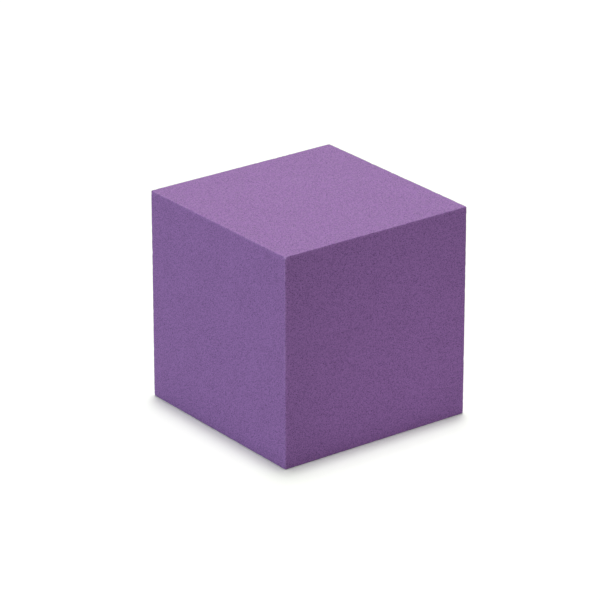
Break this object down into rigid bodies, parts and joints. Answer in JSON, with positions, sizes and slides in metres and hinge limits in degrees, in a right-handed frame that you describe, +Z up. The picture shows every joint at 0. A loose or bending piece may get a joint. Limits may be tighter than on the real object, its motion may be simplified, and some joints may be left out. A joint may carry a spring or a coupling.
{
  "type": "floral foam brick",
  "caption": "Cube-shaped brick of rigid violet floral foam, sawn flat on every side; it stands on its base and holds flower stems pushed into it.",
  "frame": {"origin": "centre of the bottom face, on the surface that the brick stands on", "axes": "+Z is up through the top face, -Y is out of the front face, and +X is out of the right face"},
  "size_m": [0.1, 0.1, 0.1],
  "materials": {
    "foam": "matte"
  },
  "bodies": {
    "root": {"foam_block": "foam"}
  },
  "joints": []
}
